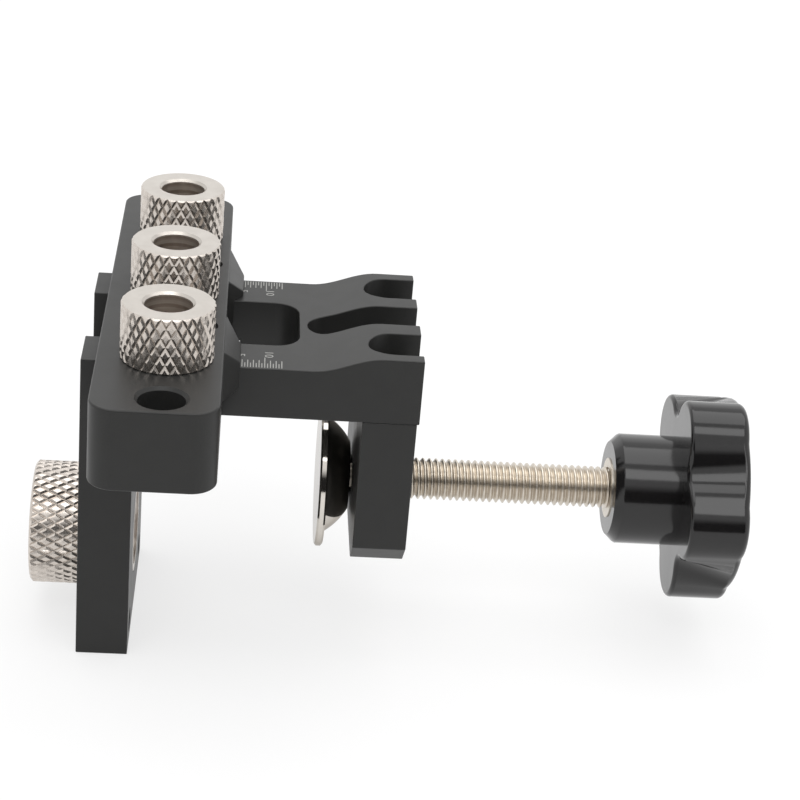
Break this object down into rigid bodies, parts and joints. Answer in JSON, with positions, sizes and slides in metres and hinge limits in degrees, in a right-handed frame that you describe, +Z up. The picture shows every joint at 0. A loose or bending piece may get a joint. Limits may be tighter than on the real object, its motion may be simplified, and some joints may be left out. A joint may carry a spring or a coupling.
{
  "type": "doweling jig",
  "caption": "Doweling jig with a slotted base plate, fence, sliding guide block with knurled drill bushes, large cam-hole bush and a screw clamp with star knob and swivel pad.",
  "frame": {"origin": "on the axis of the middle drill bush, level with the underside of the base plate, which rests on the board's edge", "axes": "+X along the plate from the fence towards the clamp knob, +Y across the plate, +Z up along the drill bushes"},
  "size_m": [0.1325, 0.1, 0.0752],
  "materials": {
    "black_anodised": "matte black anodised, fine blasted grain",
    "black_steel": "black oxide",
    "bush_steel": "diamond knurled, nickel plated",
    "screw_steel": "zinc plated thread",
    "pad_nickel": "polished nickel",
    "knob_black": "glossy moulded black"
  },
  "bodies": {
    "frame": {"base_plate": "black_anodised", "fence_plate": "black_anodised", "fence_screws": "black_steel", "cam_bush": "bush_steel", "clamp_block": "black_anodised", "clamp_block_screws": "black_steel"},
    "guide": {"guide_block": "black_anodised", "drill_bush_front": "bush_steel", "drill_bush_middle": "bush_steel", "drill_bush_rear": "bush_steel", "keeper_strips": "screw_steel", "keeper_screws": "black_steel"},
    "lock_front": {"lock_screw_front": "black_steel"},
    "lock_rear": {"lock_screw_rear": "black_steel"},
    "feed": {"pad_thrust_disc": "screw_steel"},
    "pad": {"swivel_pad": "pad_nickel", "pad_snap_ring": "screw_steel"},
    "screw": {"clamp_screw": "screw_steel", "knob_insert": "screw_steel", "star_knob": "knob_black"}
  },
  "joints": [
    {"name": "guide_slide", "type": "slide", "parent": "frame", "child": "guide", "axis": [1, 0, 0], "range_m": [-0.0007, 0.0073]},
    {"name": "lock_front_turn", "type": "hinge", "parent": "guide", "child": "lock_front", "pos_m": [0.0058, -0.0144, 0.012], "axis": [0, 0, 1], "range_deg": [0, 360]},
    {"name": "lock_rear_turn", "type": "hinge", "parent": "guide", "child": "lock_rear", "pos_m": [0.0058, 0.0144, 0.012], "axis": [0, 0, 1], "range_deg": [0, 360]},
    {"name": "clamp_feed", "type": "slide", "parent": "frame", "child": "feed", "axis": [-1, 0, 0], "range_m": [0, 0.032]},
    {"name": "pad_tilt", "type": "hinge", "parent": "feed", "child": "pad", "pos_m": [0.0315, 0, -0.021], "axis": [0, 1, 0], "range_deg": [-4, 4]},
    {"name": "knob_turn", "type": "hinge", "parent": "feed", "child": "screw", "pos_m": [0.06, 0, -0.021], "axis": [-1, 0, 0], "range_deg": [0, 9200]}
  ],
  "couplings": [
    {"joint": "clamp_feed", "follows": "knob_turn", "m_per_rad": 0.00019894}
  ]
}
